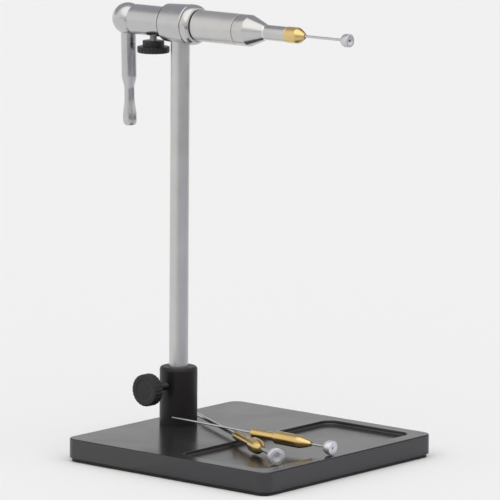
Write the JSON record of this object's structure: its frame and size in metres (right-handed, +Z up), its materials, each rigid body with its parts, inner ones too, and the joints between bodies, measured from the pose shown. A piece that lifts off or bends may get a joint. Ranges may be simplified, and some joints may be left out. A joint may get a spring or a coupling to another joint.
{
  "type": "fly tying vise",
  "caption": "Rotary tube-fly vise: a cranked spindle head on a round stem over a tray base, holding a mandrel pin in a collet, with spare mandrels lying on the base.",
  "frame": {"origin": "on the stem's axis at table level, under the base's pad", "axes": "+Z up along the stem; +X along the vise's axis from the crank to the mandrel; the base's clamp knob points to -Y"},
  "size_m": [0.1544, 0.1316, 0.2243],
  "materials": {
    "plate_black": "satin black coating",
    "boss_black": "satin black coating",
    "pad_rubber": "matt",
    "knob_black": "moulded, fluted rim",
    "washer_black": "matt",
    "aluminium": "fine turned",
    "steel": "turned",
    "pin_steel": "ground",
    "knob_steel": "bright turned",
    "brass": "turned"
  },
  "bodies": {
    "base": {"base_plate": "plate_black", "base_pad": "pad_rubber", "stem_boss": "boss_black", "boss_bolt": "steel"},
    "base_clamp_tip": {"clamp_tip": "brass"},
    "base_clamp": {"clamp_screw": "steel", "clamp_knob": "knob_black"},
    "stem": {"stem": "aluminium"},
    "head": {"head_body": "aluminium", "rear_tube": "aluminium", "front_cap": "aluminium", "rear_bush": "brass", "front_bush": "brass", "stem_screw": "steel", "thrust_washer": "washer_black", "rear_washer": "steel"},
    "lock_tip": {"lock_tip": "brass"},
    "lock": {"lock_screw": "steel", "lock_knob": "knob_black"},
    "spindle": {"spindle": "steel", "crank_hub": "aluminium", "crank_handle": "aluminium", "crank_set_screw": "steel", "barrel": "aluminium"},
    "collet": {"collet": "brass"},
    "sleeve": {"nose_sleeve": "aluminium"},
    "pin": {"mandrel_pin": "pin_steel", "pin_knob": "knob_steel"},
    "spare_a": {"spare_a_collet": "brass"},
    "spare_a_pin": {"spare_a_pin": "pin_steel", "spare_a_knob": "knob_steel"},
    "spare_b": {"spare_b_collet": "brass"},
    "spare_b_pin": {"spare_b_pin": "pin_steel", "spare_b_knob": "knob_steel"}
  },
  "joints": [
    {"name": "stem_height", "type": "slide", "parent": "base", "child": "stem", "axis": [0, 0, 1], "range_m": [0, 0.012]},
    {"name": "base_clamp_travel", "type": "slide", "parent": "base", "child": "base_clamp_tip", "axis": [0, -1, 0], "range_m": [0, 0.0021]},
    {"name": "base_clamp_turn", "type": "hinge", "parent": "base_clamp_tip", "child": "base_clamp", "pos_m": [0, -0.02, 0.03215], "axis": [0, -1, 0], "range_deg": [0, 1080]},
    {"name": "head_swivel", "type": "hinge", "parent": "stem", "child": "head", "pos_m": [0, 0, 0.206], "axis": [0, 0, 1], "continuous": true},
    {"name": "lock_travel", "type": "slide", "parent": "head", "child": "lock_tip", "axis": [0, 0, -1], "range_m": [0, 0.0021]},
    {"name": "lock_turn", "type": "hinge", "parent": "lock_tip", "child": "lock", "pos_m": [-0.0177, 0, 0.2], "axis": [0, 0, -1], "range_deg": [0, 1080]},
    {"name": "spindle_turn", "type": "hinge", "parent": "head", "child": "spindle", "pos_m": [0, 0, 0.21415], "axis": [1, 0, 0], "continuous": true},
    {"name": "collet_release", "type": "slide", "parent": "spindle", "child": "collet", "axis": [1, 0, 0], "range_m": [0, 0.001]},
    {"name": "sleeve_turn", "type": "hinge", "parent": "collet", "child": "sleeve", "pos_m": [0.043, 0, 0.21415], "axis": [1, 0, 0], "range_deg": [0, 360]},
    {"name": "pin_slide", "type": "slide", "parent": "collet", "child": "pin", "axis": [1, 0, 0], "range_m": [-0.02, 0.03]},
    {"name": "spare_a_lift", "type": "slide", "parent": "base", "child": "spare_a", "axis": [0, 0, 1], "range_m": [0, 0.05]},
    {"name": "spare_a_pin_slide", "type": "slide", "parent": "spare_a", "child": "spare_a_pin", "axis": [0.8728, -0.4881, -0.0019], "range_m": [-0.015, 0.005]},
    {"name": "spare_b_lift", "type": "slide", "parent": "spare_a", "child": "spare_b", "axis": [0, 0, 1], "range_m": [0, 0.05]},
    {"name": "spare_b_pin_slide", "type": "slide", "parent": "spare_b", "child": "spare_b_pin", "axis": [0.9987, 0.0427, -0.0269], "range_m": [-0.0075, 0.0025]}
  ],
  "couplings": [
    {"joint": "base_clamp_turn", "follows": "base_clamp_travel", "rad_per_m": 8975.9},
    {"joint": "lock_turn", "follows": "lock_travel", "rad_per_m": 8975.9},
    {"joint": "sleeve_turn", "follows": "collet_release", "rad_per_m": 6283.1}
  ]
}
